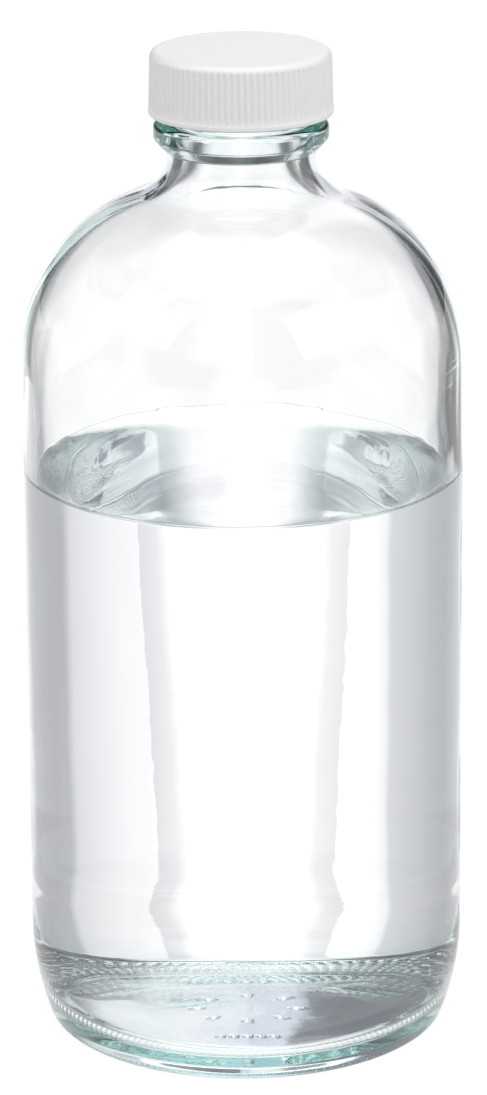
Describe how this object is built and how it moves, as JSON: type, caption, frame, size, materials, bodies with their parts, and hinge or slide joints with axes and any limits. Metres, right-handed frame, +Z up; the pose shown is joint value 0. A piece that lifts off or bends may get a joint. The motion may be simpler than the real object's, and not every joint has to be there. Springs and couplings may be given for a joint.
{
  "type": "reagent bottle",
  "caption": "Clear glass round bottle with sloping shoulder, narrow neck and ribbed white screw cap, part filled with clear liquid.",
  "frame": {"origin": "centre of the base, in the plane that the bottle stands on", "axes": "+Z up along the bottle's own axis, from base to cap; the bottle is round, so X and Y are free, and the thread on its neck starts at +X"},
  "size_m": [0.075, 0.075, 0.171],
  "materials": {
    "clear_glass": "polished",
    "clear_liquid": "polished",
    "white_polypropylene": "satin",
    "liner_film": "satin",
    "liner_foam": "matte"
  },
  "bodies": {
    "bottle": {"glass_bottle": "clear_glass", "liquid": "clear_liquid"},
    "liner": {"liner_face": "liner_film", "liner_backing": "liner_foam"},
    "cap": {"screw_cap": "white_polypropylene"}
  },
  "joints": [
    {"name": "cap_lift", "type": "slide", "parent": "bottle", "child": "liner", "axis": [0, 0, 1], "range_m": [0, 0.02117]},
    {"name": "cap_turn", "type": "hinge", "parent": "liner", "child": "cap", "pos_m": [0, 0, 0.165], "axis": [0, 0, 1], "range_deg": [0, 1800]}
  ],
  "couplings": [
    {"joint": "cap_lift", "follows": "cap_turn", "m_per_rad": 0.00067376}
  ]
}
